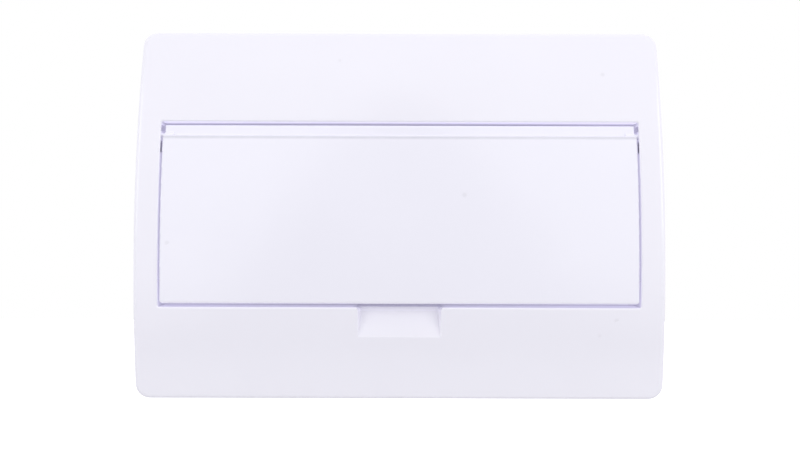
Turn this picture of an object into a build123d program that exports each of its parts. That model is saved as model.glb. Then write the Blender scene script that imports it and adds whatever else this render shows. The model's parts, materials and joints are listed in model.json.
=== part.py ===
from build123d import *
import os
from math import cos, radians, sin, sqrt

# A wall-mounted breaker panel box for one row of twelve modules.
# X runs to the right, Z up, and the front faces -Y. The origin is the centre of the
# face that lies on the wall. A depth is measured from that wall towards the front,
# so a depth d lies at y = -d. All sizes are in millimetres.

# ---- outer form ----
box_width = 291.0
box_height = 205.0
box_depth = 92.0            # wall to the crown of the curved front
front_radius = 380.0        # the front bulges about an axis along X
crown_drop = 31.4           # crown of the front, below mid height
corner_radius = 8.0
front_edge_radius = 2.6
cover_wall = 2.4
top_skirt = 10.0            # depth of the cover's skirt along its top edge

# ---- door opening and door ----
side_frame = 13.5           # frame beside the door opening
top_frame = 52.0
bottom_frame = 50.9
opening_edge_radius = 0.9
opening_corner_radius = 1.0
well_wall = 2.4
escutcheon_thickness = 2.2
door_side_gap = 1.0
door_bottom_gap = 1.9
door_thickness = 2.4
door_edge_radius = 0.8
door_bottom_radius = 1.8
strip_end_gap = 2.2         # hinge strip to the side wall of the well
strip_top_gap = 1.9
strip_setback = 2.2
strip_height = 5.8
strip_lap = 2.4             # strip reaches this far behind the panel
door_return_depth = 4.6
door_return_wall = 1.6
hinge_pin_radius = 1.5
hinge_boss_radius = 2.3
hinge_boss_length = 5.0
running_gap = 0.08          # radial clearance of a pin in its bore
tongue_half = 2.7           # half height of the bearing tongue
relief_above = 3.2
relief_below = 6.5
relief_skin = 1.2
relief_depth = 9.0
catch_length = 9.0
catch_above_bottom = 18.0
catch_clearance = 0.25      # catch nib to the well's side wall
catch_dimple = 0.5

# ---- finger recess under the door ----
recess_width = 45.8
recess_height = 16.4
recess_depth = 7.6
recess_side_draft = 2.0
recess_corner_radius = 1.6
recess_wall = 2.0

# ---- back box ----
base_inset = 1.0            # back box stands in from the cover all round
base_wall = 2.2
lip_gap = 0.3
lip_wall = 1.6
lip_height = 4.0
lip_root = 5.0
wall_hole_radius = 2.6
wall_hole_inset_x = 27.5
wall_hole_inset_z = 27.5
wall_boss_radius = 7.0
wall_boss_height = 2.0
cable_entry_width = 60.0
cable_entry_height = 22.0
cable_entry_above_row = 57.0
knockout_radius = 10.2
knockout_groove = 1.0
knockout_web = 0.8
knockout_count = 5
knockout_pitch = 45.0

# ---- screws ----
cover_screw_inset_x = 11.0
cover_screw_inset_z = 13.0
screw_sleeve_radius = 4.6
screw_radius = 1.75
screw_head_radius = 3.4
screw_head_height = 2.3
screw_bite = 13.0
screw_clearance = 0.35
thread_clearance = 0.05
head_clearance = 0.5
cross_slot_width = 0.9
cross_slot_depth = 1.2
small_screw_radius = 1.5
small_head_radius = 2.9
small_head_height = 1.9

# ---- mounting rail: 35 mm top-hat section ----
rail_width = 35.0
rail_hat_width = 27.0
rail_height = 7.5
rail_sheet = 1.0
rail_length = 238.0
rail_bend_radius = 0.8
rail_slot_length = 15.0
rail_slot_width = 6.2
rail_slot_pitch = 25.0
rail_slot_count = 9
rail_fixing_slot = 3        # screws go in this slot, counted from the middle
crown_to_rail = 74.3        # crown of the front to the plane the modules sit on
rail_seat_width = 14.0
rail_seat_height = 36.0

# ---- the row of modules ----
ways = 12
way_pitch = 17.8
module_gap = 0.2
row_slot_margin = 1.7       # escutcheon slot beyond the row at each end
row_slot_half_height = 23.0
case_half_height = 42.0
nose_half_height = 22.3
shoulder_depth = 44.0       # from the rail's front plane
nose_depth = 50.0
hook_reach = 1.3
brim_clearance = 0.4
toggle_pivot_depth = 42.0
toggle_drum_radius = 11.0
toggle_reach = 20.5
toggle_width = 8.4
toggle_half_thickness = 1.7
toggle_gap = 0.25
toggle_angle = 35.0
toggle_stub_radius = 1.5
toggle_stub_length = 1.6
latch_width = 9.0
latch_plate = 2.0
latch_gap = 0.2
latch_tail = 4.0            # pull tab below the case
terminal_offset = 33.0
terminal_hole_radius = 3.2
terminal_screw_radius = 2.8
port_half_width = 3.6
port_depth = 12.0
port_near = 18.0
port_far = 28.0
breaker_count = 6
switch_ways = 2
toggle_to_button = 2.2
button_width = 6.0
button_height = 5.0
button_travel = 1.5
button_proud = 1.9
button_side_margin = 2.5    # button to the side of its case
button_offset_z = -11.0
button_gap = 0.2

# ---- blanking strip and label ----
blank_face = 1.3
blank_lap = 1.0             # face laps the slot edge
blank_leg_wall = 1.2
blank_leg_gap = 0.3
blank_leg_length = 7.0
blank_barb = 0.9
blank_score_width = 0.7
blank_score_depth = 0.5
label_height = 9.0
label_thickness = 0.3
label_above_slot = 3.0

# ---- terminal bars ----
bar_ways = 12
bar_pitch = 7.5
bar_end = 6.0
bar_height = 6.5
bar_thickness = 9.0
bar_depth = 24.0            # wall to the back of the bar
bar_from_row = 82.0
bar_wire_radius = 2.5
bar_screw_radius = 1.9
bar_screw_height = 4.5
holder_cheek = 6.0
holder_grip = 0.1
holder_foot_height = 16.0
holder_foot_thickness = 2.5
holder_boss_height = 6.0
holder_boss_radius = 4.0
holder_ear = 10.0

# ---- comb busbar under the breakers ----
comb_sheet = 1.5
comb_height = 9.5
comb_tooth_width = 4.0
comb_tooth_depth = 10.0     # how far a tooth enters its port
comb_drop = 3.5             # comb strip below the cases
comb_skin = 1.6
comb_clearance = 0.1

# ---- places worked out from the sizes above ----
crown_z = -crown_drop
front_axis_y = front_radius - box_depth
window_half = box_width / 2 - side_frame
window_top = box_height / 2 - top_frame
window_bottom = -box_height / 2 + bottom_frame
row_z = 0.0


def front_depth(z, inset=0.0):
    """Depth of the curved front at height z, or of a surface that far behind it."""
    return sqrt((front_radius - inset) ** 2 - (z - crown_z) ** 2) - front_axis_y


parting_depth = front_depth(box_height / 2) - top_skirt
rail_front = box_depth - crown_to_rail
rail_back = rail_front - rail_height
shoulder = rail_front + shoulder_depth
escutcheon_back = shoulder + 0.9
escutcheon_front = escutcheon_back + escutcheon_thickness
post_front = parting_depth - 8.0
row_half = ways * way_pitch / 2
slot_half = row_half + row_slot_margin
door_half = window_half - door_side_gap
door_bottom = window_bottom + door_bottom_gap
strip_top = window_top - strip_top_gap
door_top = strip_top - strip_height
hinge_z = door_top - 0.2
hinge_depth = front_depth(hinge_z, strip_setback + door_thickness / 2)
hinge_bore_radius = hinge_pin_radius + running_gap
cover_screw_x = window_half - cover_screw_inset_x
cover_screw_heights = (window_top - cover_screw_inset_z, window_bottom + cover_screw_inset_z)
wall_hole_x = box_width / 2 - wall_hole_inset_x
wall_hole_z = box_height / 2 - wall_hole_inset_z
holder_half = bar_ways * bar_pitch / 2 + bar_end + holder_ear
holder_screw_x = holder_half - holder_ear / 2
switch_width = switch_ways * way_pitch - module_gap
switch_toggle_width = switch_width - 2 * (button_side_margin + button_width + toggle_to_button)
first_breaker_way = switch_ways + 1
blank_first_way = switch_ways + breaker_count + 1


# ---- helpers ----
def block(x0, x1, d0, d1, z0, z1):
    """A box between two limits along X, depth and Z."""
    middle = Pos((x0 + x1) / 2, -(d0 + d1) / 2, (z0 + z1) / 2)
    return middle * Box(abs(x1 - x0), abs(d1 - d0), abs(z1 - z0))


def rod_x(radius, x0, x1, d, z):
    return Pos((x0 + x1) / 2, -d, z) * Rot(0, 90, 0) * Cylinder(radius, abs(x1 - x0))


def rod_d(radius, d0, d1, x, z):
    """A round bar along the depth."""
    return Pos(x, -(d0 + d1) / 2, z) * Rot(90, 0, 0) * Cylinder(radius, abs(d1 - d0))


def rod_z(radius, z0, z1, x, d):
    return Pos(x, -d, (z0 + z1) / 2) * Cylinder(radius, abs(z1 - z0))


def tray(width, height, corner, d0, d1):
    """A rounded rectangle, upright, from depth d0 to depth d1."""
    return Pos(0, -d0, 0) * extrude(Plane.XZ * RectangleRounded(width, height, corner), d1 - d0)


def inset_tray(inset, d0, d1):
    """The box's outline, moved in all round by an inset."""
    corner = max(corner_radius - inset, 0.5)
    return tray(box_width - 2 * inset, box_height - 2 * inset, corner, d0, d1)


def side_profile(points, x0, x1):
    """A polygon of (depth, z) points carried along X."""
    outline = make_face(Polyline(*[(-d, z) for d, z in points], close=True))
    return Pos(x0, 0, 0) * extrude(Plane.YZ * outline, x1 - x0)


def behind_front(inset=0.0):
    """Everything behind the curved front, or behind a surface parallel to it."""
    return Pos(0, front_axis_y, crown_z) * Rot(0, 90, 0) * Cylinder(front_radius - inset, 3 * box_width)


def way_x(way):
    """Middle of a module place, counted from 1 at the left."""
    return (way - (ways + 1) / 2) * way_pitch


def joined(shapes):
    """One compound of separate solids."""
    return Compound(children=[solid for shape in shapes for solid in shape.solids()])


def screw(x, z, head_back, tip, shank_radius, head_radius, head_height):
    """A pan-head screw along the depth, its head to the front, with a cross slot."""
    head = rod_d(head_radius, head_back, head_back + head_height, x, z)
    rim = head.edges().filter_by(GeomType.CIRCLE).sort_by(Axis.Y)[0]
    head = fillet(rim, head_height * 0.4)
    shank = rod_d(shank_radius, tip, head_back + 0.5, x, z)
    point = shank.edges().filter_by(GeomType.CIRCLE).sort_by(Axis.Y)[-1]
    shank = chamfer(point, shank_radius * 0.5)
    front = head_back + head_height
    half, arm = cross_slot_width / 2, head_radius * 0.62
    across = block(x - arm, x + arm, front - cross_slot_depth, front + 1, z - half, z + half)
    upright = block(x - half, x + half, front - cross_slot_depth, front + 1, z - arm, z + arm)
    return head + shank - across - upright


# ---- front cover ----
def finger_recess(grow, z_top):
    """The scoop's space, or with grow the body that leaves a wall round it."""
    half = recess_width / 2 + grow
    low = window_bottom - recess_height
    rim = front_depth(low)
    front = front_depth(window_bottom)
    floor_top = front - recess_depth - grow
    slope = (rim - grow - floor_top) / (window_bottom - low)
    out = box_depth + 2
    z_low = low - grow
    wedge = side_profile(
        [
            (out, z_low),
            (out, z_top),
            (floor_top - slope * (z_top - window_bottom), z_top),
            (rim - grow + slope * (low - z_low), z_low),
        ],
        -half - recess_corner_radius, half + recess_corner_radius,
    )
    far = front - recess_depth - grow - 4
    lean = recess_side_draft / recess_depth
    narrow = half - lean * (front - far)
    plan = make_face(
        Polyline(
            (-half, -front), (-narrow, -far), (narrow, -far), (half, -front),
            (half, -out), (-half, -out), close=True,
        )
    )
    room = Pos(0, 0, z_low - 1) * extrude(plan, z_top - z_low + 2)
    if grow == 0:
        room = room + recess_ear(1, half, front, lean) + recess_ear(-1, half, front, lean)
    return wedge & room


def recess_ear(side, half, front, lean):
    """The sliver that rounds the corner where the recess meets the door opening."""
    r = recess_corner_radius
    low, high = window_bottom - r, window_bottom + 0.4
    corner, edge = side * half, side * (half + r)
    middle = (edge - side * r * cos(radians(45)), low + r * sin(radians(45)))
    rim = Polyline((edge, window_bottom), (edge, high), (corner - side, high), (corner - side, low), (corner, low))
    outline = make_face(Plane.XZ * (rim + ThreePointArc((corner, low), middle, (edge, window_bottom))))
    back = extrude(Pos(0, -front, 0) * outline, recess_depth + 3, dir=(-side * lean, 1, 0))
    return back + extrude(Pos(0, -front, 0) * outline, 6, dir=(0, -1, 0))


def bearing_relief():
    """Slots above and below each bearing tongue, which let it flex as the pin snaps in."""
    cuts = []
    limits = (
        (hinge_z + tongue_half, hinge_z + tongue_half + relief_above),
        (hinge_z - tongue_half - relief_below, hinge_z - tongue_half),
    )
    skin = behind_front(relief_skin)
    for side in (-1, 1):
        for low, high in limits:
            cut = block(
                side * (window_half - 0.5), side * (window_half + well_wall + 0.5),
                hinge_depth - relief_depth, box_depth + 1, low, high,
            )
            cuts.append(cut & skin)
    return cuts


def front_cover():
    body = inset_tray(0, parting_depth, box_depth + 1) & behind_front()
    front = body.faces().filter_by(GeomType.CYLINDER).sort_by(SortBy.AREA)[-1]
    body = fillet(front.edges(), front_edge_radius)
    hollow = inset_tray(cover_wall, parting_depth - 1, box_depth) & behind_front(cover_wall)
    cover = body - hollow
    # the well behind the door: four walls and the escutcheon plate
    outer = window_half + well_wall
    well = block(
        -outer, outer, escutcheon_back, box_depth + 1, window_bottom - well_wall, window_top + well_wall
    ) & behind_front(cover_wall / 2)
    cover = cover + well
    for x in (-cover_screw_x, cover_screw_x):
        for z in cover_screw_heights:
            cover += rod_d(screw_sleeve_radius, post_front, escutcheon_back + 0.5, x, z)
    opening = block(
        -window_half, window_half, escutcheon_front, box_depth + 1, window_bottom, window_top
    )
    upright = opening.edges().filter_by(Axis.Y)
    cover = soften_opening(cover - fillet(upright, opening_corner_radius))
    cover -= finger_recess(0, window_bottom + well_wall)
    slot = block(
        -slot_half, slot_half, escutcheon_back - 1, escutcheon_front + 1,
        row_z - row_slot_half_height, row_z + row_slot_half_height,
    )
    cover -= fillet(slot.edges().filter_by(Axis.Y), 1.2)
    for x in (-cover_screw_x, cover_screw_x):
        for z in cover_screw_heights:
            cover -= rod_d(screw_radius + screw_clearance, post_front - 1, escutcheon_front + 1, x, z)
            seat = escutcheon_front - screw_head_height - head_clearance
            cover -= rod_d(screw_head_radius + head_clearance, seat, escutcheon_front + 1, x, z)
    for side in (-1, 1):
        cover -= rod_x(
            hinge_bore_radius, side * (window_half - 1), side * (window_half + well_wall + 1),
            hinge_depth, hinge_z,
        )
    for cut in bearing_relief():
        cover -= cut
    for side in (-1, 1):
        cover -= catch_dimple_cut(side)
    return cover


def finger_pocket():
    """The slanted floor and side walls fixed behind the recess, against the skin and the well."""
    outer = finger_recess(recess_wall, window_bottom - well_wall) & behind_front(cover_wall)
    return outer - finger_recess(0, window_bottom + well_wall)


def soften_opening(cover):
    """Rounds the front edge of the door opening."""
    fronts = cover.faces().filter_by(GeomType.CYLINDER)
    front = [f for f in fronts if abs(f.radius - front_radius) < 1e-3 and f.inner_wires()][0]
    return fillet(front.inner_wires()[0].edges(), opening_edge_radius)


def catch_depth(z):
    """Depth of the door's catch nibs, on its side return walls."""
    return front_depth(z) - door_return_depth + 1.4


def catch_dimple_cut(side):
    """A shallow dimple in the well's side wall where the catch nib rests."""
    z = door_bottom + catch_above_bottom
    half, depth = catch_length / 2 + 0.8, catch_depth(z)
    wall = side * window_half
    return block(wall - side * 0.5, wall + side * catch_dimple, depth - 1.9, depth + 1.9, z - half, z + half)


# ---- door ----
def door():
    panel = block(-door_half, door_half, 0, box_depth + 1, door_bottom, door_top)
    skin = behind_front()
    panel = panel & skin
    face = panel.faces().filter_by(GeomType.CYLINDER).sort_by(SortBy.AREA)[-1]
    edges = face.edges()
    low = edges.sort_by(Axis.Z)[0]
    rest = [e for e in edges if e.center().Z > low.center().Z + 1]
    panel = fillet(rest, door_edge_radius)
    low = (
        panel.edges().filter_by(GeomType.LINE).filter_by(Axis.X).filter_by(lambda e: e.center().Z < 0)
        .sort_by(Axis.Y)[0]
    )
    panel = fillet(low, door_bottom_radius)
    leaf = panel - behind_front(door_thickness)
    # return walls stiffen the two sides and the lower edge
    back = behind_front(door_return_depth)
    inner = block(
        -door_half + door_return_wall, door_half - door_return_wall, 0, box_depth + 1,
        door_bottom + door_return_wall, door_top + 1,
    )
    returns = panel - back - inner
    keep = block(-door_half, door_half, 0, box_depth, door_bottom, hinge_z - tongue_half - relief_below)
    leaf = leaf + (returns & keep)
    # the set-back hinge strip along the top, with a pin at each end
    strip_half = window_half - strip_end_gap
    strip = block(
        -strip_half, strip_half, 0, box_depth + 1, door_top - strip_lap, strip_top
    ) & behind_front(strip_setback)
    top_edge = strip.edges().filter_by(Axis.X).filter_by(lambda e: e.center().Z > door_top).sort_by(Axis.Y)[0]
    strip = fillet(top_edge, door_edge_radius) - behind_front(strip_setback + door_thickness)
    leaf = leaf + strip
    for side in (-1, 1):
        end = side * strip_half
        boss = rod_x(hinge_boss_radius, end - side * hinge_boss_length, end, hinge_depth, hinge_z)
        boss = boss & behind_front(door_thickness / 2)
        pin = rod_x(
            hinge_pin_radius, end - side * 2, side * (window_half + well_wall + 0.6), hinge_depth, hinge_z
        )
        tip = pin.edges().filter_by(GeomType.CIRCLE).sort_by(Axis.X)[0 if side < 0 else -1]
        leaf = leaf + boss + chamfer(tip, 0.5)
    for side in (-1, 1):
        leaf = leaf + door_catch(side)
    return leaf


def door_catch(side):
    """A small rounded nib on the return wall of one side."""
    z = door_bottom + catch_above_bottom
    depth = catch_depth(z)
    reach = door_side_gap - catch_clearance
    nib = rod_z(1.2, z - catch_length / 2, z + catch_length / 2, side * (door_half + reach - 1.2), depth)
    return fillet(nib.edges().filter_by(GeomType.CIRCLE), 0.5)


# ---- back box ----
def back_box():
    box = inset_tray(base_inset, 0, parting_depth)
    rim = box.faces().sort_by(Axis.Y)[-1].edges()
    box = fillet(rim, 1.0)
    box -= inset_tray(base_inset + base_wall, base_wall, parting_depth + 1)
    # the lip that the cover's skirt slides over
    outside = cover_wall + lip_gap
    lip = inset_tray(outside, parting_depth - 1, parting_depth + lip_height)
    lip += inset_tray(base_inset + base_wall / 2, parting_depth - lip_root, parting_depth)
    lip -= inset_tray(outside + lip_wall, parting_depth - lip_root - 1, parting_depth + lip_height + 1)
    box += lip
    for x in (-cover_screw_x, cover_screw_x):
        for z in cover_screw_heights:
            post = rod_d(screw_sleeve_radius, base_wall - 0.5, post_front, x, z)
            for turn in (0, 90):
                rib = Rot(0, turn, 0) * block(-7.0, 7.0, base_wall - 0.5, post_front * 0.55, -0.7, 0.7)
                post += Pos(x, 0, z) * rib
            box += post
            box -= rod_d(screw_radius + thread_clearance, post_front - screw_bite - 2, post_front + 1, x, z)
    rail_x = rail_fixing_slot * rail_slot_pitch
    for x in (-rail_x, rail_x):
        seat_half_x, seat_half_z = rail_seat_width / 2, rail_seat_height / 2
        box += block(
            x - seat_half_x, x + seat_half_x, base_wall - 0.5, rail_back, row_z - seat_half_z, row_z + seat_half_z
        )
        # cored out from behind, either side of the screw
        for z in (-1, 1):
            box -= block(
                x - seat_half_x + base_wall, x + seat_half_x - base_wall, -1, rail_back - base_wall,
                row_z + z * 5.0, row_z + z * (seat_half_z - base_wall),
            )
        box -= rod_d(small_screw_radius + thread_clearance, 1.2, rail_back + 1, x, row_z)
    for z in (row_z - bar_from_row, row_z + bar_from_row):
        for x in (-holder_screw_x, holder_screw_x):
            box += rod_d(holder_boss_radius, base_wall - 0.5, base_wall + holder_boss_height, x, z)
            box -= rod_d(
                small_screw_radius + thread_clearance, 1.2, base_wall + holder_boss_height + 1, x, z
            )
    for x in (-wall_hole_x, wall_hole_x):
        for z in (-wall_hole_z, wall_hole_z):
            box += rod_d(wall_boss_radius, base_wall - 0.5, base_wall + wall_boss_height, x, z)
            box -= rod_d(wall_hole_radius, -1, base_wall + wall_boss_height + 1, x, z)
    entry_z = row_z + cable_entry_above_row
    entry = Pos(0, 1, entry_z) * extrude(
        Plane.XZ * RectangleRounded(cable_entry_width, cable_entry_height, 5.0), base_wall + 2
    )
    box -= entry
    for groove in knockouts():
        box -= groove
    return box


def knockouts():
    """Thin-webbed rings in the upper and lower walls, to be broken out for conduits."""
    grooves = []
    depth = parting_depth / 2
    wall_z = box_height / 2 - base_inset
    for side in (-1, 1):
        low = side * (wall_z - base_wall + knockout_web)
        high = side * (wall_z + 1)
        for i in range(knockout_count):
            x = (i - (knockout_count - 1) / 2) * knockout_pitch
            ring = rod_z(knockout_radius + knockout_groove, low, high, x, depth)
            ring -= rod_z(knockout_radius, low - side, high + side, x, depth)
            grooves.append(ring)
    return grooves


# ---- rail ----
def din_rail():
    half, hat = rail_width / 2, rail_hat_width / 2
    points = [
        (rail_front, -half), (rail_front, -hat + rail_sheet), (rail_back + rail_sheet, -hat + rail_sheet),
        (rail_back + rail_sheet, hat - rail_sheet), (rail_front, hat - rail_sheet), (rail_front, half),
        (rail_front - rail_sheet, half), (rail_front - rail_sheet, hat), (rail_back, hat),
        (rail_back, -hat), (rail_front - rail_sheet, -hat), (rail_front - rail_sheet, -half),
    ]
    rail = side_profile(points, -rail_length / 2, rail_length / 2)
    bends = [
        e for e in rail.edges().filter_by(Axis.X)
        if abs(abs(e.center().Z) - hat) < rail_sheet + 0.1 and abs(e.center().Z) < half - 1
    ]
    rail = fillet(bends, rail_bend_radius * 0.6)
    straight = rail_slot_length - rail_slot_width
    for i in range(rail_slot_count):
        x = (i - (rail_slot_count - 1) / 2) * rail_slot_pitch
        web = (rail_back - 1, rail_back + rail_sheet + 1)
        rail -= block(x - straight / 2, x + straight / 2, *web, -rail_slot_width / 2, rail_slot_width / 2)
        for end in (-straight / 2, straight / 2):
            rail -= rod_d(rail_slot_width / 2, *web, x + end, 0)
    return Pos(0, 0, row_z) * rail


def rail_screws():
    x = rail_fixing_slot * rail_slot_pitch
    seat = rail_back + rail_sheet
    head = rail_slot_width / 2 + 1.2
    return joined([screw(s * x, row_z, seat, 3.2, small_screw_radius, head, small_head_height) for s in (-1, 1)])


def cover_screws():
    seat = escutcheon_front - screw_head_height - head_clearance
    tip = post_front - screw_bite
    return joined(
        [
            screw(x, z, seat, tip, screw_radius, screw_head_radius, screw_head_height)
            for x in (-cover_screw_x, cover_screw_x)
            for z in cover_screw_heights
        ]
    )


# ---- breakers ----
def case_body(width, x):
    """The moulded case of a rail-mounted device, centred at x."""
    half = width / 2
    top, nose = case_half_height, nose_half_height
    brim = rail_width / 2 + brim_clearance
    f = rail_front
    back = -rail_sheet
    points = [
        (f + nose_depth, -nose), (f + nose_depth, nose), (f + shoulder_depth, nose),
        (f + shoulder_depth, top), (f + 2, top), (f + 2, brim + 7),
        (f - rail_sheet - 2.4, brim + 7), (f - rail_sheet - 2.4, brim - brim_clearance - hook_reach),
        (f - rail_sheet - 0.3, brim - brim_clearance - hook_reach), (f - rail_sheet - 0.3, brim),
        (f + 0.05, brim), (f + 0.05, -brim), (f + back, -brim), (f + back, -top),
        (f + shoulder_depth, -top), (f + shoulder_depth, -nose),
    ]
    body = side_profile([(d, z + row_z) for d, z in points], x - half, x + half)
    front_rim = [
        e for e in body.edges()
        if -e.center().Y > f + nose_depth - 0.01 or (
            abs(-e.center().Y - f - shoulder_depth) < 0.01 and abs(abs(e.center().Z - row_z) - top) < 0.01
        )
    ]
    body = fillet(front_rim, 0.6)
    return body


def latch_guides(x):
    """Two ribs on the back of the case that guide the rail latch."""
    inner = latch_width / 2 + latch_gap
    ribs = []
    for side in (-1, 1):
        ribs.append(
            block(
                x + side * inner, x + side * (inner + 1.8), rail_front - rail_sheet - latch_gap - latch_plate,
                rail_front - rail_sheet + 0.3, row_z - case_half_height + 1, row_z - rail_width / 2 - 2.5,
            )
        )
    return ribs


def cut_poles(body, middles):
    """Screw wells and wire ports of each pole, above and below."""
    for x in middles:
        for side in (-1, 1):
            z = row_z + side * terminal_offset
            body -= rod_d(terminal_hole_radius, shoulder - 14, shoulder + 1, x, z)
            end = row_z + side * (case_half_height + 1)
            inner = row_z + side * (case_half_height - port_depth)
            body -= block(
                x - port_half_width, x + port_half_width, rail_front + port_near, rail_front + port_far, inner, end
            )
    return body


def toggle_pocket(x, width):
    depth = rail_front + toggle_pivot_depth
    half = width / 2 + toggle_gap
    drum = rod_x(toggle_drum_radius + toggle_gap, x - half, x + half, depth, row_z)
    stub = half + toggle_stub_length + 0.2
    return drum + rod_x(toggle_stub_radius + running_gap, x - stub, x + stub, depth, row_z)


def toggle(x, width):
    """A drum with a lever, thrown up: the breaker is on."""
    depth = rail_front + toggle_pivot_depth
    half = width / 2
    drum = rod_x(toggle_drum_radius, x - half, x + half, depth, row_z)
    stub = half + toggle_stub_length
    drum += rod_x(toggle_stub_radius, x - stub, x + stub, depth, row_z)
    thick = toggle_half_thickness
    start = toggle_drum_radius - 3
    lever = block(x - half, x + half, start, toggle_reach, -thick, thick)
    tip = lever.edges().filter_by(Axis.X).filter_by(lambda e: -e.center().Y > start + 1)
    lever = fillet(tip, thick * 0.8)
    lever = Pos(0, -depth, row_z) * Rot(-toggle_angle, 0, 0) * lever
    return drum + lever


def breaker_case(way):
    x = way_x(way)
    body = case_body(way_pitch - module_gap, x)
    body = cut_poles(body, [x])
    body -= toggle_pocket(x, toggle_width)
    front = rail_front + nose_depth
    # shallow window for the rating, above the toggle
    body -= block(x - 5.5, x + 5.5, front - 0.4, front + 1, row_z + 13.5, row_z + 19.5)
    for rib in latch_guides(x):
        body += rib
    return body


def switch_middle():
    return (way_x(1) + way_x(switch_ways)) / 2


def button_middle():
    """Place of the test button's middle along X."""
    return switch_middle() + switch_width / 2 - button_side_margin - button_width / 2


def switch_case():
    x = switch_middle()
    body = case_body(switch_width, x)
    body = cut_poles(body, [way_x(1), way_x(switch_ways)])
    body -= toggle_pocket(x, switch_toggle_width)
    front = rail_front + nose_depth
    body -= block(x - 12.5, x + 12.5, front - 0.4, front + 1, row_z + 13.5, row_z + 19.5)
    half_x, half_z = button_width / 2 + button_gap, button_height / 2 + button_gap
    bx, bz = button_middle(), row_z + button_offset_z
    body -= block(bx - half_x, bx + half_x, front - 6, front + 1, bz - half_z, bz + half_z)
    for rib in latch_guides(x):
        body += rib
    return body


def test_button():
    x, z = button_middle(), row_z + button_offset_z
    front = rail_front + nose_depth
    cap = block(
        x - button_width / 2, x + button_width / 2, front - 6 + button_travel + 0.3, front + button_proud,
        z - button_height / 2, z + button_height / 2,
    )
    rim = cap.faces().sort_by(Axis.Y)[0].edges()
    return fillet(rim, 0.5)


def rail_latch(x):
    """The sprung foot that hooks behind the rail's lower brim, with a pull slot."""
    front = rail_front - rail_sheet - latch_gap
    top = row_z - rail_width / 2 + hook_reach
    low = row_z - case_half_height - latch_tail
    foot = block(x - latch_width / 2, x + latch_width / 2, front - latch_plate, front, low, top)
    hook = foot.edges().filter_by(Axis.X).filter_by(lambda e: e.center().Z > top - 0.1).sort_by(Axis.Y)[-1]
    foot = chamfer(hook, 0.8)
    return foot - block(x - 2.5, x + 2.5, front - latch_plate - 1, front + 1, low + 1.2, low + 3.0)


def terminal_screws():
    """One screw head in each screw well, slotted."""
    screws = []
    poles = list(range(1, first_breaker_way + breaker_count))
    for way in poles:
        for side in (-1, 1):
            x, z = way_x(way), row_z + side * terminal_offset
            head = rod_d(terminal_screw_radius, shoulder - 14, shoulder - 9, x, z)
            slot = block(x - 3, x + 3, shoulder - 10.2, shoulder - 8, z - 0.45, z + 0.45)
            screws.append(head - slot)
    return joined(screws)


def comb_places():
    """The switch's outgoing pole and every breaker."""
    return [way_x(way) for way in range(switch_ways, first_breaker_way + breaker_count)]


def comb_busbar():
    places = comb_places()
    back = rail_front + (port_near + port_far) / 2 - comb_sheet / 2
    top = row_z - case_half_height - comb_drop
    half = comb_tooth_width / 2
    strip = block(places[0] - half - 1, places[-1] + half + 1, back, back + comb_sheet, top - comb_height, top)
    for x in places:
        strip += block(x - half, x + half, back, back + comb_sheet, top - 1, top + comb_drop + comb_tooth_depth)
    return strip


def comb_insulator():
    places = comb_places()
    middle = rail_front + (port_near + port_far) / 2
    half = comb_sheet / 2 + comb_clearance
    top = row_z - case_half_height - comb_drop
    low = top - comb_height - comb_clearance
    left, right = places[0] - 5.5, places[-1] + 5.5
    sleeve = block(left, right, middle - half - comb_skin, middle + half + comb_skin, low - comb_skin, top + 1.0)
    channel = block(
        left + comb_skin, right - comb_skin, middle - half, middle + half, low, top + 2.0
    )
    return sleeve - channel


# ---- blanking strip and label ----
def blanking_strip():
    """Closes the unused ways: a scored face with barbed legs that snap behind the plate."""
    left = way_x(blank_first_way) - way_pitch / 2 + 0.2
    right = slot_half - 0.4
    top = row_slot_half_height
    face_back = escutcheon_front + 0.1
    strip = block(
        left, right, face_back, face_back + blank_face, row_z - top - blank_lap, row_z + top + blank_lap
    )
    rim = strip.faces().sort_by(Axis.Y)[0].edges()
    strip = fillet(rim, 0.4)
    for side in (-1, 1):
        outer = row_z + side * (top - blank_leg_gap)
        inner = outer - side * blank_leg_wall
        strip += block(left, right, face_back - blank_leg_length, face_back + 0.2, inner, outer)
        barb = side_profile(
            [
                (escutcheon_back - 0.2, outer), (escutcheon_back - 0.2, outer + side * blank_barb),
                (escutcheon_back - 2.6, outer), (escutcheon_back - 2.6, inner), (escutcheon_back - 0.2, inner),
            ],
            left, right,
        )
        strip += barb
    half_way = way_pitch / 2
    front = face_back + blank_face
    score = left + half_way
    while score < right - half_way / 2:
        strip -= block(
            score - blank_score_width / 2, score + blank_score_width / 2, front - blank_score_depth, front + 1,
            row_z - top - 2, row_z + top + 2,
        )
        score += half_way
    return strip


def label_strip():
    low = row_z + row_slot_half_height + label_above_slot
    return block(-row_half, row_half, escutcheon_front, escutcheon_front + label_thickness, low, low + label_height)


# ---- terminal bars ----
def bar_offsets():
    return [(i - (bar_ways - 1) / 2) * bar_pitch for i in range(bar_ways)]


def terminal_bar(z):
    half = bar_ways * bar_pitch / 2 + bar_end
    front = bar_depth + bar_thickness
    bar = block(-half, half, bar_depth, front, z - bar_height / 2, z + bar_height / 2)
    for x in bar_offsets():
        bar -= rod_z(bar_wire_radius, z - bar_height, z + bar_height, x, bar_depth + bar_thickness * 0.4)
        bar -= rod_d(bar_screw_radius + thread_clearance, bar_depth + bar_thickness * 0.4, front + 1, x, z)
    return bar


def terminal_bar_screws(z):
    front = bar_depth + bar_thickness
    screws = []
    for x in bar_offsets():
        body = rod_d(bar_screw_radius, front - bar_screw_height + 1, front + 1, x, z)
        slot = block(x - 3, x + 3, front + 0.2, front + 2, z - 0.35, z + 0.35)
        screws.append(body - slot)
    return joined(screws)


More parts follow.
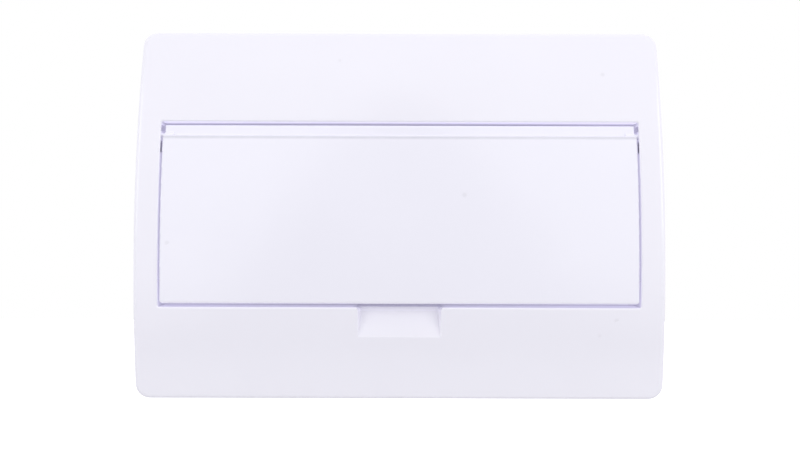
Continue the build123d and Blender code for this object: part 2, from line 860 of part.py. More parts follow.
def bar_holder(z):
    foot_back = base_wall + holder_boss_height
    foot_front = foot_back + holder_foot_thickness
    half_z = holder_foot_height / 2
    holder = block(-holder_half, holder_half, foot_back, foot_front, z - half_z, z + half_z)
    corners = holder.edges().filter_by(Axis.Y)
    holder = fillet(corners, 3.0)
    bar_half = bar_ways * bar_pitch / 2 + bar_end
    front = bar_depth + bar_thickness + 1.5
    for side in (-1, 1):
        end = side * (bar_half + 1.5)
        cheek = block(end - side * holder_cheek, end, foot_front - 0.5, front, z - 5.5, z + 5.5)
        holder += fillet(cheek.faces().sort_by(Axis.Y)[0].edges(), 0.8)
    grip = holder_grip
    holder -= block(
        -bar_half - grip, bar_half + grip, bar_depth - grip, bar_depth + bar_thickness + grip,
        z - bar_height / 2 - grip, z + bar_height / 2 + grip,
    )
    for x in (-holder_screw_x, holder_screw_x):
        holder -= rod_d(small_screw_radius + screw_clearance, foot_back - 1, foot_front + 1, x, z)
    return holder


def holder_screws():
    seat = base_wall + holder_boss_height + holder_foot_thickness
    return joined(
        [
            screw(x, z, seat, 3.2, small_screw_radius, small_head_radius, small_head_height)
            for z in (row_z - bar_from_row, row_z + bar_from_row)
            for x in (-holder_screw_x, holder_screw_x)
        ]
    )


# ---- every named piece ----
def pieces():
    made = {
        "back_box": back_box(),
        "front_cover": front_cover(),
        "finger_pocket": finger_pocket(),
        "door": door(),
        "din_rail": din_rail(),
        "rail_screws": rail_screws(),
        "cover_screws": cover_screws(),
        "blanking_strip": blanking_strip(),
        "label_strip": label_strip(),
        "neutral_bar": terminal_bar(row_z + bar_from_row),
        "neutral_bar_screws": terminal_bar_screws(row_z + bar_from_row),
        "neutral_bar_holder": bar_holder(row_z + bar_from_row),
        "earth_bar": terminal_bar(row_z - bar_from_row),
        "earth_bar_screws": terminal_bar_screws(row_z - bar_from_row),
        "earth_bar_holder": bar_holder(row_z - bar_from_row),
        "bar_holder_screws": holder_screws(),
        "comb_busbar": comb_busbar(),
        "comb_busbar_insulator": comb_insulator(),
        "module_terminal_screws": terminal_screws(),
        "main_switch_case": switch_case(),
        "main_switch_toggle": toggle(switch_middle(), switch_toggle_width),
        "main_switch_test_button": test_button(),
        "main_switch_rail_latch": rail_latch(switch_middle()),
    }
    for i in range(breaker_count):
        way = first_breaker_way + i
        made[f"breaker_{i + 1}_case"] = breaker_case(way)
        made[f"breaker_{i + 1}_toggle"] = toggle(way_x(way), toggle_width)
        made[f"breaker_{i + 1}_rail_latch"] = rail_latch(way_x(way))
    return made


os.makedirs("parts", exist_ok=True)
for name, shape in pieces().items():
    export_step(shape, f"parts/{name}.step")
    print(name, "solids", len(shape.solids()), "volume", round(shape.volume))
print("parting depth", round(parting_depth, 3), "hinge", round(hinge_depth, 3), round(hinge_z, 3))
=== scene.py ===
import json
import math
import bpy
import numpy as np
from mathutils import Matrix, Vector


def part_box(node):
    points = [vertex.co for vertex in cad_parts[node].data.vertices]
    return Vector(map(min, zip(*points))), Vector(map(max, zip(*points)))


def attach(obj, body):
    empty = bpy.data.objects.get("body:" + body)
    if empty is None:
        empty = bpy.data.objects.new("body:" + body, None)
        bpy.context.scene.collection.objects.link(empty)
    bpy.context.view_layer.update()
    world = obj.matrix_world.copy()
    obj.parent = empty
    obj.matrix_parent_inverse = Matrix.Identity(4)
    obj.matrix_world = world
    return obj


# A closed breaker panel box, hung as on a wall: bulged white cover, lift-up door,
# and behind the door a row of modules, their label and a blanking strip.

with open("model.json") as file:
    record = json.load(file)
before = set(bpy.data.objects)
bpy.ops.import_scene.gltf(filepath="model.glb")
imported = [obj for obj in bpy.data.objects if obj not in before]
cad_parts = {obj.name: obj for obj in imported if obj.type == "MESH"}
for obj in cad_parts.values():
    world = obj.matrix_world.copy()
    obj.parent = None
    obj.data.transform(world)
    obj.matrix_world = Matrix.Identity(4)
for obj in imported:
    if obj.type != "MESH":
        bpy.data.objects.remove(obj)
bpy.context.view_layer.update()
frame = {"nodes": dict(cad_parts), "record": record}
nodes = frame["nodes"]
print("frame loaded:", len(nodes), "nodes")

mm = 0.001


def link(tree, source, target):
    tree.links.new(source, target)


def makeGroup(name, inputs, outputs):
    group = bpy.data.node_groups.new(name, "ShaderNodeTree")
    for label, kind, value in inputs:
        socket = group.interface.new_socket(name=label, in_out="INPUT", socket_type=kind)
        if value is not None:
            socket.default_value = value
    for label, kind in outputs:
        group.interface.new_socket(name=label, in_out="OUTPUT", socket_type=kind)
    return group, group.nodes.new("NodeGroupInput"), group.nodes.new("NodeGroupOutput")


def mathNode(tree, operation, first, second, clamp=False):
    node = tree.nodes.new("ShaderNodeMath")
    node.operation = operation
    node.use_clamp = clamp
    for socket, value in zip(node.inputs, (first, second)):
        if isinstance(value, (int, float)):
            socket.default_value = value
        elif value is not None:
            link(tree, value, socket)
    return node.outputs[0]


def noiseNode(tree, vector, scale, detail=2.0, roughness=0.5):
    node = tree.nodes.new("ShaderNodeTexNoise")
    node.inputs["Detail"].default_value = detail
    node.inputs["Roughness"].default_value = roughness
    if isinstance(scale, (int, float)):
        node.inputs["Scale"].default_value = scale
    else:
        link(tree, scale, node.inputs["Scale"])
    link(tree, vector, node.inputs["Vector"])
    return node.outputs["Fac"]


def rangeNode(tree, value, low, high, toLow, toHigh, smooth=False):
    node = tree.nodes.new("ShaderNodeMapRange")
    node.interpolation_type = "SMOOTHSTEP" if smooth else "LINEAR"
    link(tree, value, node.inputs["Value"])
    for label, number in (("From Min", low), ("From Max", high), ("To Min", toLow), ("To Max", toHigh)):
        if isinstance(number, (int, float)):
            node.inputs[label].default_value = number
        else:
            link(tree, number, node.inputs[label])
    return node.outputs["Result"]


def mixColour(tree, factor, first, second):
    node = tree.nodes.new("ShaderNodeMix")
    node.data_type = "RGBA"
    link(tree, factor, node.inputs["Factor"])
    for label, value in (("A", first), ("B", second)):
        socket = [s for s in node.inputs if s.name == label and s.type == "RGBA"][0]
        if isinstance(value, tuple):
            socket.default_value = (*value, 1)
        else:
            link(tree, value, socket)
    return [s for s in node.outputs if s.type == "RGBA"][0]


# Moulded plastic: the fine orange peel of a polished or spark-eroded mould, a slow
# flow variation, and a few tiny specks of grit caught in the skin.
def mouldedGroup():
    group, given, out = makeGroup(
        "mouldedSkin",
        [
            ("Vector", "NodeSocketVector", None),
            ("Colour", "NodeSocketColor", (0.8, 0.8, 0.8, 1)),
            ("Roughness", "NodeSocketFloat", 0.3),
            ("Peel Scale", "NodeSocketFloat", 900.0),
            ("Speck Amount", "NodeSocketFloat", 0.3),
        ],
        [("Colour", "NodeSocketColor"), ("Roughness", "NodeSocketFloat"), ("Height", "NodeSocketFloat")],
    )
    vector = given.outputs["Vector"]
    peel = noiseNode(group, vector, given.outputs["Peel Scale"], 3.0, 0.55)
    flow = noiseNode(group, vector, 14.0, 2.0, 0.5)
    blotch = noiseNode(group, vector, 60.0, 3.0, 0.6)
    specks = group.nodes.new("ShaderNodeTexVoronoi")
    specks.inputs["Scale"].default_value = 46.0
    specks.inputs["Randomness"].default_value = 1.0
    link(group, vector, specks.inputs["Vector"])
    near = rangeNode(group, specks.outputs["Distance"], 0.025, 0.085, 1.0, 0.0, True)
    rare = noiseNode(group, vector, 31.0, 0.0, 0.5)
    chosen = mathNode(group, "GREATER_THAN", rare, 0.57)
    speck = mathNode(group, "MULTIPLY", mathNode(group, "MULTIPLY", near, chosen), given.outputs["Speck Amount"])
    tint = rangeNode(group, flow, 0.3, 0.7, 0.0, 0.035)
    darker = group.nodes.new("ShaderNodeHueSaturation")
    darker.inputs["Value"].default_value = 0.55
    link(group, given.outputs["Colour"], darker.inputs["Color"])
    toned = mixColour(group, tint, given.outputs["Colour"], darker.outputs["Color"])
    link(group, mixColour(group, speck, toned, darker.outputs["Color"]), out.inputs["Colour"])
    wander = rangeNode(group, blotch, 0.3, 0.7, -0.025, 0.025)
    link(group, mathNode(group, "ADD", given.outputs["Roughness"], wander, True), out.inputs["Roughness"])
    link(group, peel, out.inputs["Height"])
    return group


# Drawn or turned metal: fine lines stretched along one axis, with dull patches.
def drawnGroup():
    group, given, out = makeGroup(
        "drawnMetal",
        [
            ("Vector", "NodeSocketVector", None),
            ("Colour", "NodeSocketColor", (0.7, 0.7, 0.7, 1)),
            ("Tarnish", "NodeSocketColor", (0.5, 0.5, 0.5, 1)),
            ("Roughness", "NodeSocketFloat", 0.3),
            ("Line Scale", "NodeSocketFloat", 2600.0),
        ],
        [("Colour", "NodeSocketColor"), ("Roughness", "NodeSocketFloat"), ("Height", "NodeSocketFloat")],
    )
    vector = given.outputs["Vector"]
    stretch = group.nodes.new("ShaderNodeMapping")
    stretch.inputs["Scale"].default_value = (0.02, 1.0, 1.0)
    link(group, vector, stretch.inputs["Vector"])
    lines = noiseNode(group, stretch.outputs["Vector"], given.outputs["Line Scale"], 2.0, 0.6)
    patches = noiseNode(group, vector, 120.0, 4.0, 0.6)
    dull = rangeNode(group, patches, 0.42, 0.68, 0.0, 0.75, True)
    link(group, mixColour(group, dull, given.outputs["Colour"], given.outputs["Tarnish"]), out.inputs["Colour"])
    rough = mathNode(group, "ADD", given.outputs["Roughness"], rangeNode(group, lines, 0.3, 0.7, -0.08, 0.08))
    rough = mathNode(group, "ADD", rough, mathNode(group, "MULTIPLY", dull, 0.12), True)
    link(group, rough, out.inputs["Roughness"])
    link(group, lines, out.inputs["Height"])
    return group


moulded = mouldedGroup()
drawn = drawnGroup()

plastics = {  # colour, roughness, peel scale per metre, peel depth in mm, speck amount, reflectance
    # The cover and door carry a glow: painted light, emitted in place of light that comes through their thin walls.
    "cover_plastic": dict(colour=(0.850, 0.841, 0.908), rough=0.165, peel=1500, depth=0.0018, specks=0.17, ior=1.58,
                          glow=(0.080, 0.076, 0.100)),
    "door_plastic": dict(colour=(0.860, 0.854, 0.930), rough=0.165, peel=1500, depth=0.0018, specks=0.17, ior=1.58,
                         glow=(0.080, 0.076, 0.100)),
    "box_plastic": dict(colour=(0.800, 0.796, 0.850), rough=0.48, peel=2600, depth=0.010, specks=0.15, ior=1.50),
    "blank_plastic": dict(colour=(0.840, 0.835, 0.880), rough=0.33, peel=1500, depth=0.003, specks=0.10, ior=1.50),
    "case_plastic": dict(colour=(0.700, 0.700, 0.690), rough=0.46, peel=3000, depth=0.009, specks=0.12, ior=1.50),
    "toggle_black": dict(colour=(0.022, 0.022, 0.025), rough=0.36, peel=3200, depth=0.006, specks=0.0, ior=1.50),
    "toggle_blue": dict(colour=(0.020, 0.085, 0.300), rough=0.36, peel=3200, depth=0.006, specks=0.0, ior=1.50),
    "button_yellow": dict(colour=(0.780, 0.500, 0.030), rough=0.38, peel=3200, depth=0.005, specks=0.0, ior=1.50),
    "latch_plastic": dict(colour=(0.050, 0.050, 0.055), rough=0.45, peel=2600, depth=0.008, specks=0.0, ior=1.50),
    "insulator_grey": dict(colour=(0.250, 0.260, 0.280), rough=0.50, peel=1800, depth=0.006, specks=0.1, ior=1.50),
    "holder_blue": dict(colour=(0.018, 0.110, 0.430), rough=0.42, peel=2600, depth=0.007, specks=0.0, ior=1.50),
    "holder_green": dict(colour=(0.025, 0.240, 0.065), rough=0.42, peel=2600, depth=0.007, specks=0.0, ior=1.50),
}

metals = {
    "zinc_steel": dict(colour=(0.66, 0.67, 0.69), tarnish=(0.50, 0.51, 0.52), rough=0.30, lines=2600, depth=0.0030),
    "screw_steel": dict(colour=(0.64, 0.64, 0.66), tarnish=(0.46, 0.46, 0.45), rough=0.26, lines=3600, depth=0.0020),
    "brass": dict(colour=(0.80, 0.60, 0.27), tarnish=(0.55, 0.38, 0.16), rough=0.24, lines=3200, depth=0.0020),
    "copper": dict(colour=(0.87, 0.46, 0.29), tarnish=(0.50, 0.24, 0.14), rough=0.28, lines=2600, depth=0.0025),
}


def newMaterial(name):
    material = bpy.data.materials.new(name)
    material.use_nodes = True
    tree = material.node_tree
    shader = tree.nodes["Principled BSDF"]
    place = tree.nodes.new("ShaderNodeTexCoord").outputs["Object"]
    return material, tree, shader, place


def addBump(tree, height, depth, shader):
    bump = tree.nodes.new("ShaderNodeBump")
    bump.inputs["Strength"].default_value = 1.0
    bump.inputs["Distance"].default_value = depth * mm
    link(tree, height, bump.inputs["Height"])
    link(tree, bump.outputs["Normal"], shader.inputs["Normal"])


def plasticMaterial(name, look):
    material, tree, shader, place = newMaterial(name)
    skin = tree.nodes.new("ShaderNodeGroup")
    skin.node_tree = moulded
    link(tree, place, skin.inputs["Vector"])
    skin.inputs["Colour"].default_value = (*look["colour"], 1)
    skin.inputs["Roughness"].default_value = look["rough"]
    skin.inputs["Peel Scale"].default_value = look["peel"]
    skin.inputs["Speck Amount"].default_value = look["specks"]
    link(tree, skin.outputs["Colour"], shader.inputs["Base Color"])
    link(tree, skin.outputs["Roughness"], shader.inputs["Roughness"])
    addBump(tree, skin.outputs["Height"], look["depth"], shader)
    shader.inputs["IOR"].default_value = look["ior"]
    if "glow" in look:  # painted glow: the plastic emits a faint light of its own in place of light through the thin white wall, seen most in the gaps
        shader.inputs["Emission Color"].default_value = (*look["glow"], 1)
        shader.inputs["Emission Strength"].default_value = 1.0
    return material


def metalMaterial(name, look):
    material, tree, shader, place = newMaterial(name)
    skin = tree.nodes.new("ShaderNodeGroup")
    skin.node_tree = drawn
    link(tree, place, skin.inputs["Vector"])
    skin.inputs["Colour"].default_value = (*look["colour"], 1)
    skin.inputs["Tarnish"].default_value = (*look["tarnish"], 1)
    skin.inputs["Roughness"].default_value = look["rough"]
    skin.inputs["Line Scale"].default_value = look["lines"]
    link(tree, skin.outputs["Colour"], shader.inputs["Base Color"])
    link(tree, skin.outputs["Roughness"], shader.inputs["Roughness"])
    addBump(tree, skin.outputs["Height"], look["depth"], shader)
    shader.inputs["Metallic"].default_value = 1.0
    return material


# Printed paper: faint fibres and a soft sheen-free surface.
def paperMaterial(name, colour=(0.92, 0.92, 0.91)):
    material, tree, shader, place = newMaterial(name)
    fibre = noiseNode(tree, place, 2400.0, 4.0, 0.7)
    shade = rangeNode(tree, fibre, 0.35, 0.65, 0.0, 0.12)
    worn = tuple(part * 0.86 for part in colour)
    link(tree, mixColour(tree, shade, colour, worn), shader.inputs["Base Color"])
    addBump(tree, fibre, 0.008, shader)
    shader.inputs["Roughness"].default_value = 0.75
    return material


def inkMaterial(name, colour, worn):
    material, tree, shader, place = newMaterial(name)
    patch = noiseNode(tree, place, 1500.0, 3.0, 0.6)
    link(tree, mixColour(tree, rangeNode(tree, patch, 0.35, 0.75, 0.0, 0.5), colour, worn), shader.inputs["Base Color"])
    shader.inputs["Roughness"].default_value = 0.5
    return material


materials = {name: plasticMaterial(name, look) for name, look in plastics.items()}

# Painted light: the well's thin walls get a stronger glow, in place of the light that falls on the cover round them
# and comes through. The mask is a shell round the door opening, from its faces outward by the wall, and it
# stops short of the curved front.
well = {"half": 132.0, "top": 50.5, "bottom": -51.6, "wall": 2.4, "radius": 380.0,
        "axis": 288.0, "crown": -31.4, "glow": (0.49, 0.47, 0.60), "fade": 18.0, "sides": 0.15, "foot": 0.40,
        "notch": 0.35}


# Distance of a point from the axis that the front bulges about.
def axisReach(tree, y, z):
    rise = mathNode(tree, "SUBTRACT", z, well["crown"] * mm)
    run = mathNode(tree, "SUBTRACT", y, well["axis"] * mm)
    square = mathNode(tree, "ADD", mathNode(tree, "MULTIPLY", rise, rise), mathNode(tree, "MULTIPLY", run, run))
    return mathNode(tree, "SQRT", square, None)


def lightWellWalls(tree):
    shader = tree.nodes["Principled BSDF"]
    split = tree.nodes.new("ShaderNodeSeparateXYZ")
    link(tree, tree.nodes["Texture Coordinate"].outputs["Object"], split.inputs[0])
    x, y, z = split.outputs
    beside = mathNode(tree, "SUBTRACT", mathNode(tree, "ABSOLUTE", x, None), well["half"] * mm)
    above = mathNode(tree, "SUBTRACT", z, well["top"] * mm)
    below = mathNode(tree, "SUBTRACT", well["bottom"] * mm, z)
    outside = mathNode(tree, "MAXIMUM", beside, mathNode(tree, "MAXIMUM", above, below))
    inner = rangeNode(tree, outside, -0.2 * mm, -0.05 * mm, 0.0, 1.0)
    outer = rangeNode(tree, outside, (well["wall"] - 0.5) * mm, (well["wall"] + 0.1) * mm, 1.0, 0.0)
    reach = axisReach(tree, y, z)
    behind = rangeNode(tree, reach, (well["radius"] - 2.0) * mm, (well["radius"] - 0.9) * mm, 1.0, 0.0)
    mask = mathNode(tree, "MULTIPLY", mathNode(tree, "MULTIPLY", inner, outer), behind)
    fade = rangeNode(tree, reach, (well["radius"] - well["fade"]) * mm, (well["radius"] - 3.0) * mm, 0.05, 1.0, True)
    deep = rangeNode(tree, reach, (well["radius"] - 26.0) * mm, (well["radius"] - 10.0) * mm, 0.2, 1.0, True)
    upper = rangeNode(tree, above, -0.5 * mm, -0.1 * mm, well["sides"], 1.0)
    foot = rangeNode(tree, below, -0.5 * mm, -0.1 * mm, 0.0, well["foot"])
    aside = mathNode(tree, "ABSOLUTE", x, None)
    foot = mathNode(tree, "MULTIPLY", foot, rangeNode(tree, aside, 23.5 * mm, 26.0 * mm, well["notch"], 1.0))
    share = mathNode(tree, "MAXIMUM", mathNode(tree, "MULTIPLY", fade, upper), mathNode(tree, "MULTIPLY", deep, foot))
    mask = mathNode(tree, "MULTIPLY", mask, share)
    # Painted light: the masked walls glow in the well's brighter colour.
    lit = mixColour(tree, mask, plastics["cover_plastic"]["glow"], well["glow"])
    link(tree, lit, shader.inputs["Emission Color"])


lightWellWalls(materials["cover_plastic"].node_tree)

# Painted shade: the recess's side walls are darkened to a grey violet, heaviest at their top, under the door's edge.
recessShade = {"inner": 20.6, "outer": 22.4, "low": -67.0, "high": -52.5, "edge": 379.4, "most": 0.55,
         "tone": (0.60, 0.585, 0.70)}


def paintRecessShade(tree):
    shader = tree.nodes["Principled BSDF"]
    split = tree.nodes.new("ShaderNodeSeparateXYZ")
    place = tree.nodes["Texture Coordinate"].outputs["Object"]
    link(tree, place, split.inputs[0])
    x, y, z = split.outputs
    aside = mathNode(tree, "ABSOLUTE", x, None)
    side = rangeNode(tree, aside, recessShade["inner"] * mm, recessShade["outer"] * mm, 0.0, 1.0, True)
    side = mathNode(tree, "MULTIPLY", side, mathNode(tree, "LESS_THAN", aside, 23.6 * mm))
    climb = rangeNode(tree, z, recessShade["low"] * mm, recessShade["high"] * mm, 0.0, recessShade["most"], True)
    climb = mathNode(tree, "MULTIPLY", climb, mathNode(tree, "LESS_THAN", z, -50.8 * mm))
    reach = axisReach(tree, y, z)
    behind = rangeNode(tree, reach, (recessShade["edge"] - 0.7) * mm, recessShade["edge"] * mm, 1.0, 0.0)
    patchy = rangeNode(tree, noiseNode(tree, place, 260.0, 3.0, 0.6), 0.3, 0.7, 0.8, 1.0)
    amount = mathNode(tree, "MULTIPLY", side, climb)
    amount = mathNode(tree, "MULTIPLY", amount, mathNode(tree, "MULTIPLY", behind, patchy))
    # Painted shade, mixed into the plain colour.
    plain = shader.inputs["Base Color"].links[0].from_socket
    link(tree, mixColour(tree, amount, plain, recessShade["tone"]), shader.inputs["Base Color"])


paintRecessShade(materials["cover_plastic"].node_tree)

# Painted shade: a darker band along the step where the hinge strip meets the door panel.
step = {"height": 41.8, "half": 1.5, "tone": (0.66, 0.655, 0.73)}


def paintStepShade(tree):
    shader = tree.nodes["Principled BSDF"]
    split = tree.nodes.new("ShaderNodeSeparateXYZ")
    place = tree.nodes["Texture Coordinate"].outputs["Object"]
    link(tree, place, split.inputs[0])
    away = mathNode(tree, "ABSOLUTE", mathNode(tree, "SUBTRACT", split.outputs["Z"], step["height"] * mm), None)
    band = rangeNode(tree, away, 0.0, step["half"] * mm, 1.0, 0.0, True)
    patchy = rangeNode(tree, noiseNode(tree, place, 90.0, 3.0, 0.6), 0.3, 0.7, 0.75, 1.0)
    # Painted shade, mixed into the door's colour along the band.
    plain = shader.inputs["Base Color"].links[0].from_socket
    stepShaded = mixColour(tree, mathNode(tree, "MULTIPLY", band, patchy), plain, step["tone"])
    link(tree, stepShaded, shader.inputs["Base Color"])


paintStepShade(materials["door_plastic"].node_tree)
materials.update({name: metalMaterial(name, look) for name, look in metals.items()})
materials["label_paper"] = paperMaterial("label_paper")
materials["ink_black"] = inkMaterial("ink_black", (0.03, 0.03, 0.035), (0.10, 0.10, 0.11))
materials["ink_grey"] = inkMaterial("ink_grey", (0.30, 0.30, 0.32), (0.42, 0.42, 0.43))

for part in frame["record"]["subparts"]:
    cadNode = nodes[part["node"]]
    cadNode.data.materials.clear()
    cadNode.data.materials.append(materials[part["material_slot"]])
print("materials set on", len(nodes), "nodes")


def addPiece(name, points, faces, material, slot, body, smooth=False):
    mesh = bpy.data.meshes.new(name)
    mesh.from_pydata(np.asarray(points, float).tolist(), [], np.asarray(faces).tolist())
    mesh.validate()
    mesh.update()
    mesh.polygons.foreach_set("use_smooth", np.full(len(mesh.polygons), smooth))
    mesh.materials.append(materials[material])
    piece = bpy.data.objects.new(name, mesh)
    bpy.context.scene.collection.objects.link(piece)
    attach(piece, body)
    return piece


# Text set flat, given its thickness, then stood up: the reading direction goes to X,
# the text's height to Z, and its printed side to the front (-Y).
def flatText(text, height, thick):
    curve = bpy.data.curves.new("text", "FONT")
    curve.body = text
    curve.size = height / 0.7
    curve.align_x = "CENTER"
    curve.extrude = thick / 2
    curve.resolution_u = 4
    holder = bpy.data.objects.new("text", curve)
    bpy.context.scene.collection.objects.link(holder)
    bpy.context.view_layer.update()
    mesh = bpy.data.meshes.new_from_object(holder.evaluated_get(bpy.context.evaluated_depsgraph_get()))
    flat = np.empty(len(mesh.vertices) * 3)
    mesh.vertices.foreach_get("co", flat)
    flat = flat.reshape(-1, 3)
    faces = [list(face.vertices) for face in mesh.polygons]
    bpy.data.objects.remove(holder)
    bpy.data.curves.remove(curve)
    bpy.data.meshes.remove(mesh)
    middle = (flat[:, 1].min() + flat[:, 1].max()) / 2
    return np.stack([flat[:, 0], -flat[:, 2], flat[:, 1] - middle], 1), faces


def printText(name, items, thick, material, body):
    allPoints, allFaces, count = [], [], 0
    for text, height, x, y, z in items:
        points, faces = flatText(text, height, thick)
        allPoints.append(points + (x, y, z))
        allFaces += [[count + index for index in face] for face in faces]
        count += len(points)
    mesh = bpy.data.meshes.new(name)
    mesh.from_pydata(np.concatenate(allPoints).tolist(), [], allFaces)
    mesh.update()
    mesh.materials.append(materials[material])
    piece = bpy.data.objects.new(name, mesh)
    bpy.context.scene.collection.objects.link(piece)
    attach(piece, body)
    return piece


# Closed boxes: each row of corners is x0, x1, y0, y1, z0, z1, and a box's eight points
# take every pairing of its lows and highs.
def blocks(corners):
    rows = np.asarray(corners, float)
    pick = np.array([(x, y, z) for x in (0, 1) for y in (2, 3) for z in (4, 5)])
    points = rows[:, pick].reshape(-1, 3)
    shape = np.array([(0, 1, 3, 2), (4, 6, 7, 5), (0, 4, 5, 1), (2, 3, 7, 6), (0, 2, 6, 4), (1, 5, 7, 3)])
    faces = (shape[None] + 8 * np.arange(len(rows))[:, None, None]).reshape(-1, 4)
    return points, faces


# The row's numbers and the lines between its ways, on the label strip.
label = {"pitch": 17.8, "ways": 12, "number": 3.4, "line": 0.25, "ink": 0.02}
low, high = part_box("label_strip")
labelFront = low[1] - label["ink"] * mm / 2
middleZ = (low[2] + high[2]) / 2
wayX = (np.arange(label["ways"]) - (label["ways"] - 1) / 2) * label["pitch"] * mm
numbers = [(str(i + 1), label["number"] * mm, x, labelFront, middleZ) for i, x in enumerate(wayX)]
printText("label_numbers", numbers, label["ink"] * mm, "ink_black", "housing")
lineX = (wayX[1:] + wayX[:-1]) / 2
half = label["line"] * mm / 2
rows = [(x - half, x + half, low[1] - label["ink"] * mm, low[1], low[2] + 1.2 * mm, high[2] - 1.2 * mm) for x in lineX]
addPiece("label_lines", *blocks(rows), "ink_grey", "label_paper", "housing")

# Ratings, on and off marks, and the small contact diagram on each module's nose.
marks = {"rating": 2.9, "small": 2.1, "ink": 0.03, "line": 0.28, "ratings": ("C10", "C16", "C16", "C20", "C20", "C32")}
ratingText, contactLines = [], []
for i, rating in enumerate(marks["ratings"]):
    low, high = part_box(f"breaker_{i + 1}_case")
    x, front = (low[0] + high[0]) / 2, low[1] - marks["ink"] * mm / 2
    ratingText.append((rating, marks["rating"] * mm, x, front, 19.2 * mm))
    ratingText.append(("I", marks["small"] * mm, x, front, 14.6 * mm))
    ratingText.append(("O", marks["small"] * mm, x, front, -14.2 * mm))
    back, half = low[1], marks["line"] * mm / 2
    outer = back - marks["ink"] * mm
    contactLines.append((x - 4.4 * mm, x - 1.2 * mm, outer, back, -18.9 * mm - half, -18.9 * mm + half))
    contactLines.append((x + 1.2 * mm, x + 4.4 * mm, outer, back, -18.9 * mm - half, -18.9 * mm + half))
    contactLines.append((x - half, x + half, outer, back, -20.4 * mm, -17.4 * mm))
    contactLines.append((x - 1.2 * mm, x + 1.2 * mm, outer, back, -20.4 * mm - half, -20.4 * mm + half))
low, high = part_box("main_switch_case")
x, front = (low[0] + high[0]) / 2, low[1] - marks["ink"] * mm / 2
ratingText.append(("63 A", marks["rating"] * mm, x, front, 19.2 * mm))
ratingText.append(("I", marks["small"] * mm, x - 4.0 * mm, front, 14.6 * mm))
ratingText.append(("O", marks["small"] * mm, x - 4.0 * mm, front, -14.2 * mm))
ratingText.append(("30 mA", marks["small"] * mm, x, front, -19.2 * mm))
ratingText.append(("T", marks["small"] * mm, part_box("main_switch_test_button")[0][0] + 3.0 * mm, front, -5.6 * mm))
printText("module_marks", ratingText, marks["ink"] * mm, "ink_black", "housing")
addPiece("module_diagrams", *blocks(contactLines), "ink_black", "case_plastic", "housing")


# The circuit card inside the door. It lies on the door's inner face, a cylinder about
# an axis along X: y = -(sqrt(radius^2 - (z - crown)^2) - axis).
card = {"radius": 377.6, "axis": 288.0, "crown": -31.4, "half": 96.0, "low": -30.0, "high": 22.0,
        "paper": 0.15, "ink": 0.03, "rows": 3, "columns": 4, "line": 0.35}


def onCard(x, z, rise):
    depth = np.sqrt((card["radius"] - rise) ** 2 - (z - card["crown"]) ** 2) - card["axis"]
    return np.stack([x, -depth, z], -1) * mm


# A thin closed plate on the card's curve, cut into cells up its height. Its two faces
# lie under and over mm inside the door's inner face.
def cardSheet(x0, x1, z0, z1, under, over, cells):
    z = np.linspace(z0, z1, cells + 1)
    rings = [onCard(np.full_like(z, x), z, rise) for x, rise in ((x0, under), (x1, under), (x1, over), (x0, over))]
    points = np.concatenate(rings)
    step = cells + 1
    run = np.arange(cells)
    faces = [np.stack([a * step + run, b * step + run, b * step + run + 1, a * step + run + 1], 1)
             for a, b in ((0, 1), (1, 2), (2, 3), (3, 0))]
    ends = np.array([(3 * step, 2 * step, step, 0), (cells, step + cells, 2 * step + cells, 3 * step + cells)])
    return points, np.concatenate(faces + [ends])


def joinShapes(shapes):
    counts = np.cumsum([0] + [len(points) for points, faces in shapes[:-1]])
    return (np.concatenate([points for points, faces in shapes]),
            np.concatenate([faces + count for (points, faces), count in zip(shapes, counts)]))


sheet = cardSheet(-card["half"], card["half"], card["low"], card["high"], 0.0, card["paper"], 24)
addPiece("circuit_card", *sheet, "label_paper", "label_paper", "door", True)
lines, inkTop = [], card["paper"] + card["ink"]
for z in np.linspace(card["low"] + 4, card["high"] - 4, card["rows"] + 1):
    half = card["line"] / 2
    lines.append(cardSheet(4 - card["half"], card["half"] - 4, z - half, z + half, card["paper"], inkTop, 1))
for x in np.linspace(4 - card["half"], card["half"] - 4, card["columns"] + 1):
    half = card["line"] / 2
    lines.append(cardSheet(x - half, x + half, card["low"] + 4, card["high"] - 4, card["paper"], inkTop, 12))
addPiece("circuit_card_lines", *joinShapes(lines), "ink_grey", "label_paper", "door")
print("labels, marks and circuit card made")


view = {"lens": 46.27, "sensor": 36.0, "place": (0.25, -652, -7.1), "pitch": 90, "roll": -0.16}


def camera():
    cam = bpy.data.cameras.new("camera")
    cam.lens = view["lens"]
    cam.sensor_width = view["sensor"]
    holder = bpy.data.objects.new("camera", cam)
    bpy.context.scene.collection.objects.link(holder)
    holder.location = tuple(part * mm for part in view["place"])
    holder.rotation_euler = (math.radians(view["pitch"]), math.radians(view["roll"]), 0)
    bpy.context.scene.camera = holder


def areaLight(name, place, aim, size, power):
    lamp = bpy.data.lights.new(name, "AREA")
    lamp.shape = "RECTANGLE"
    lamp.size, lamp.size_y = size
    lamp.energy = power
    holder = bpy.data.objects.new(name, lamp)
    bpy.context.scene.collection.objects.link(holder)
    holder.location = place
    holder.rotation_euler = (Vector(aim) - Vector(place)).to_track_quat("-Z", "Y").to_euler()


# The room: white where the camera, a mirror or a clear part looks, dimmer as a lamp.
def room(whiteLevel, lampLevel):
    world = bpy.data.worlds.new("room")
    bpy.context.scene.world = world
    world.use_nodes = True
    tree = world.node_tree
    background = tree.nodes["Background"]
    background.inputs["Color"].default_value = (1, 1, 1, 1)
    path = tree.nodes.new("ShaderNodeLightPath")
    seen = mathNode(tree, "MAXIMUM", path.outputs["Is Camera Ray"], path.outputs["Is Glossy Ray"])
    seen = mathNode(tree, "MAXIMUM", seen, path.outputs["Is Transmission Ray"])
    link(tree, rangeNode(tree, seen, 0.0, 1.0, lampLevel, whiteLevel), background.inputs["Strength"])


def stageMesh(name, points, faces, material):
    mesh = bpy.data.meshes.new(name)
    mesh.from_pydata([tuple(point) for point in points], [], faces)
    mesh.materials.append(material)
    holder = bpy.data.objects.new(name, mesh)
    bpy.context.scene.collection.objects.link(holder)
    return holder


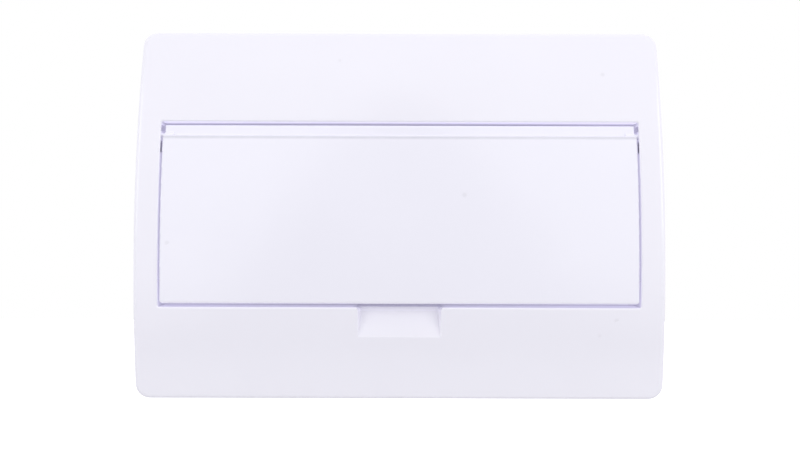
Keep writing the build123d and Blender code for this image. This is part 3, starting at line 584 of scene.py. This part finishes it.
# White floor far below: lit white plus a little glow for the camera, so it reads as
# white and still takes the object's soft shadow.
def paleFloor(height, half, glow):
    material = bpy.data.materials.new("floor_white")
    material.use_nodes = True
    tree = material.node_tree
    shader = tree.nodes["Principled BSDF"]
    shader.inputs["Base Color"].default_value = (0.75, 0.75, 0.75, 1)
    shader.inputs["Roughness"].default_value = 0.9
    shader.inputs["Emission Color"].default_value = (1, 1, 1, 1)
    path = tree.nodes.new("ShaderNodeLightPath")
    seen = mathNode(tree, "MAXIMUM", path.outputs["Is Camera Ray"], path.outputs["Is Transmission Ray"])
    link(tree, mathNode(tree, "MULTIPLY", seen, glow), shader.inputs["Emission Strength"])
    corners = [(-half, -half, height), (half, -half, height), (half, half, height), (-half, half, height)]
    return stageMesh("floor", corners, [(0, 1, 2, 3)], material)


# A dark card behind the camera, narrow at the top and wide at the foot: its soft
# reflection lies on the curved front. The camera itself never sees it.
def darkCard(distance, heights, halfWidths, tone):
    material = bpy.data.materials.new("card_dark")
    material.use_nodes = True
    shader = material.node_tree.nodes["Principled BSDF"]
    shader.inputs["Base Color"].default_value = (tone, tone, tone, 1)
    shader.inputs["Roughness"].default_value = 1.0
    left = [(-half, -distance, height) for height, half in zip(heights, halfWidths)]
    right = [(half, -distance, height) for height, half in zip(heights, halfWidths)]
    count = len(heights)
    faces = [(i, i + 1, count + i + 1, count + i) for i in range(count - 1)]
    card = stageMesh("dark_card", left + right, faces, material)
    card.visible_camera = False
    return card


studio = {"white": 1.0, "lamp": 0.862, "floor": -0.62, "floorHalf": 6.0, "floorGlow": 0.80,
          "cardAway": 1.4, "cardTone": 0.03,
          "cardHeights": (1.12, 0.92, 0.63, 0.30, -0.28, -0.60),
          "cardHalves": (0.005, 0.085, 0.150, 0.215, 0.335, 0.62),
          "softbox": (0.9, 0.9), "aside": 1.1, "ahead": -1.2, "above": 0.55, "left": 4.4, "right": 5.7}
camera()
room(studio["white"], studio["lamp"])
paleFloor(studio["floor"], studio["floorHalf"], studio["floorGlow"])
darkCard(studio["cardAway"], studio["cardHeights"], studio["cardHalves"], studio["cardTone"])
for side, name in ((-1, "left"), (1, "right")):
    place = (side * studio["aside"], studio["ahead"], studio["above"])
    areaLight("softbox_" + name, place, (0, 0, 0), studio["softbox"], studio[name])
print("room, floor and lamps placed")

bpy.context.scene.view_settings.view_transform = "Standard"
